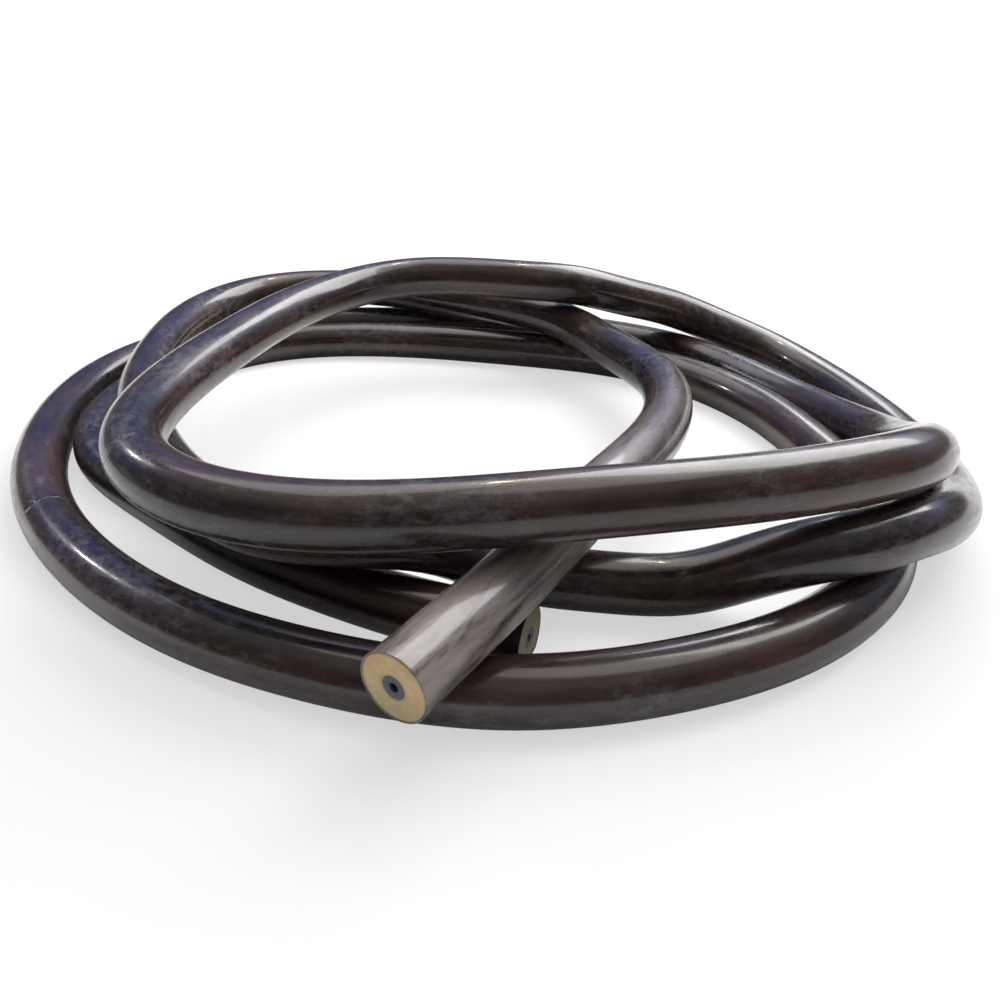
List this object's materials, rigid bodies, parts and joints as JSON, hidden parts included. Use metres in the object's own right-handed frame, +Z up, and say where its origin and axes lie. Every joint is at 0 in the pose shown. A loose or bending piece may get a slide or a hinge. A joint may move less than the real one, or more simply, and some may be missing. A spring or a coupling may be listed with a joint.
{
  "type": "rubber hose",
  "caption": "Length of thick-walled rubber hose in loose crossing turns: a dark skin, an amber wall and a slate liner round a small bore, both ends cut square and bare.",
  "frame": {"origin": "on the ground, under the middle of the lay's box", "axes": "+Z up from the ground, +X along the lay's longer side, +Y away from the near cut end"},
  "size_m": [0.3201, 0.2958, 0.0483],
  "materials": {
    "skin": "smooth dipped skin, half gloss, dark brown",
    "wall": "matt cut face of amber natural rubber",
    "liner": "matt slate-grey rubber round the bore"
  },
  "bodies": {
    "root": {"outer_skin": "skin", "rubber_wall": "wall", "bore_liner": "liner"}
  },
  "joints": []
}
